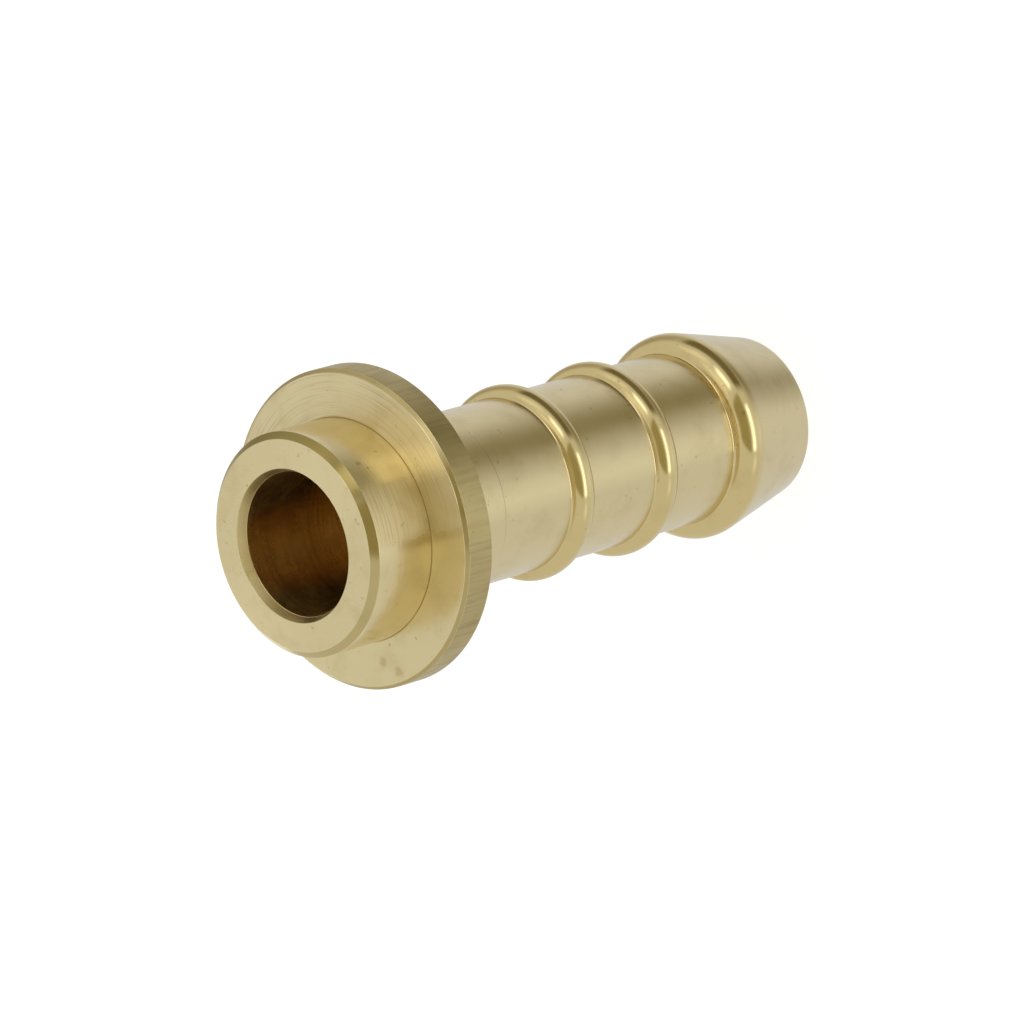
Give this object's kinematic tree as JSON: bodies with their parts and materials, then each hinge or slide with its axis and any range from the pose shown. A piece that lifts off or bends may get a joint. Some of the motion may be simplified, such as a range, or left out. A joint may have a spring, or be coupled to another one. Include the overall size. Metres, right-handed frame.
{
  "type": "hose barb tail",
  "caption": "Turned brass hose tail with a plain spigot, a flange for a loose union nut, half-round ribs and a coned leading barb.",
  "frame": {"origin": "middle of the tail's end face, which the part stands on", "axes": "+Z along the bore from the tail's end up to the spigot's face; X and Y are free, as the part is round"},
  "size_m": [0.02, 0.02, 0.0414],
  "materials": {
    "brass": "turned and left bare: fine lathe marks round the spigot, flange and bore, satin on the tail, with slight stains"
  },
  "bodies": {
    "root": {"hose_tail": "brass"}
  },
  "joints": []
}
